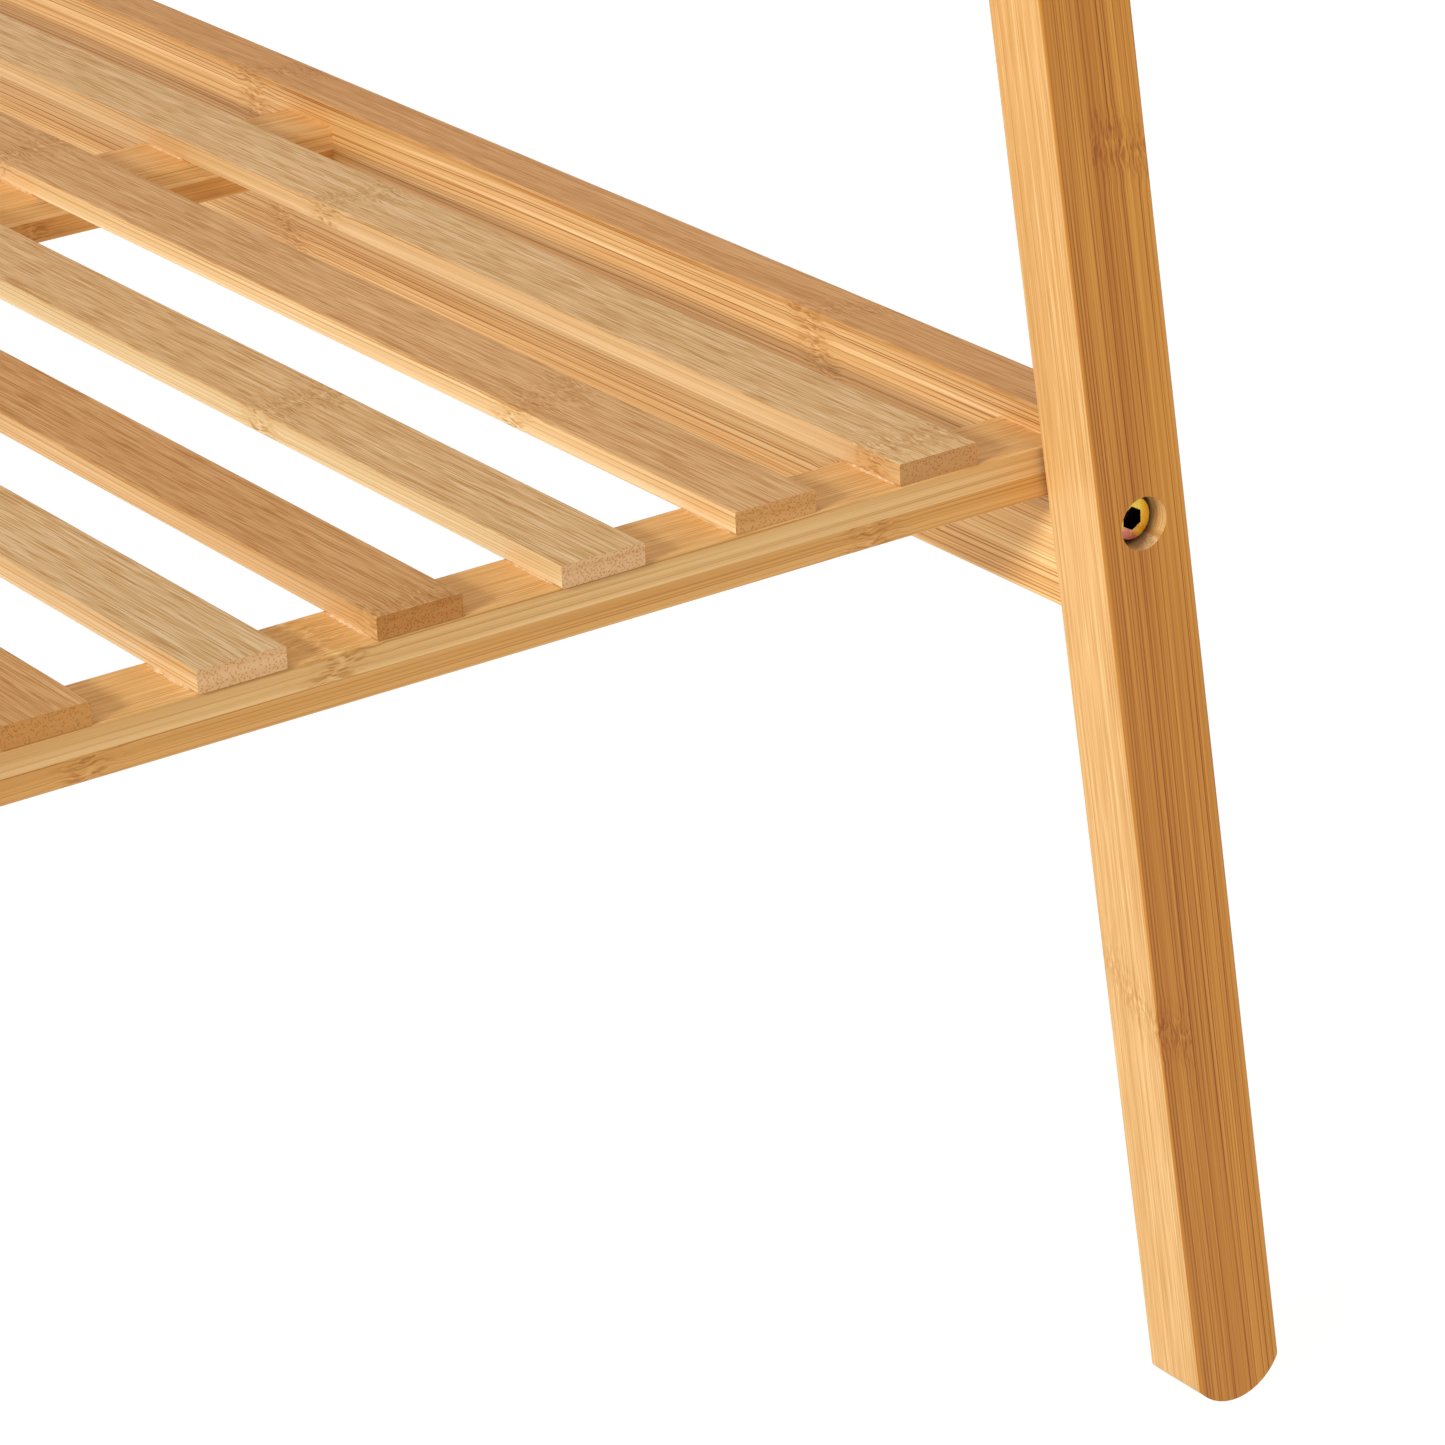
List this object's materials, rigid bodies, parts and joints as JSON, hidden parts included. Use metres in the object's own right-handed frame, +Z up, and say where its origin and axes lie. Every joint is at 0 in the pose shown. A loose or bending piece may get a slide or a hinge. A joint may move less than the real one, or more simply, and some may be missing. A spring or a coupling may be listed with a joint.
{
  "type": "slatted bench",
  "caption": "Bamboo entryway bench with a slatted seat, a slatted lower shelf and four outward-leaning legs with rounded feet.",
  "frame": {"origin": "on the floor, under the middle of the bench", "axes": "+X along the bench's length to its right end, +Y from front to back, +Z up"},
  "size_m": [0.7, 0.387, 0.46],
  "materials": {
    "bamboo_leg": "satin clear lacquer over side-pressed bamboo, grain along the leg",
    "bamboo_rail": "satin clear lacquer over side-pressed bamboo, fine strip lines along the rail",
    "bamboo_cross_rail": "satin clear lacquer over two-layer bamboo",
    "bamboo_slat_pale": "satin clear lacquer, pale flat-grain bamboo",
    "bamboo_slat_dark": "satin clear lacquer, warmer flat-grain bamboo",
    "yellow_zinc": "yellow-passivated zinc plate on steel",
    "nut_steel": "plain zinc plate",
    "dowel_wood": "raw birch"
  },
  "bodies": {
    "root": {"leg_front_left": "bamboo_leg", "leg_front_right": "bamboo_leg", "leg_rear_left": "bamboo_leg", "leg_rear_right": "bamboo_leg", "end_rail_left": "bamboo_rail", "end_rail_right": "bamboo_rail", "shelf_rail_front": "bamboo_rail", "shelf_rail_rear": "bamboo_rail", "seat_rail_front": "bamboo_rail", "seat_rail_rear": "bamboo_rail", "shelf_cross_rail_left": "bamboo_cross_rail", "shelf_cross_rail_middle": "bamboo_cross_rail", "shelf_cross_rail_right": "bamboo_cross_rail", "seat_cross_rail_left": "bamboo_cross_rail", "seat_cross_rail_middle": "bamboo_cross_rail", "seat_cross_rail_right": "bamboo_cross_rail", "shelf_slat_1": "bamboo_slat_pale", "shelf_slat_2": "bamboo_slat_dark", "shelf_slat_3": "bamboo_slat_pale", "shelf_slat_4": "bamboo_slat_dark", "shelf_slat_5": "bamboo_slat_pale", "shelf_slat_6": "bamboo_slat_dark", "seat_slat_1": "bamboo_slat_pale", "seat_slat_2": "bamboo_slat_dark", "seat_slat_3": "bamboo_slat_pale", "seat_slat_4": "bamboo_slat_dark", "seat_slat_5": "bamboo_slat_pale", "seat_slat_6": "bamboo_slat_dark", "shelf_bolts": "yellow_zinc", "shelf_barrel_nuts": "nut_steel", "shelf_cross_dowels": "dowel_wood", "seat_bolts": "yellow_zinc", "seat_barrel_nuts": "nut_steel", "seat_cross_dowels": "dowel_wood", "end_rail_dowels": "dowel_wood"}
  },
  "joints": []
}
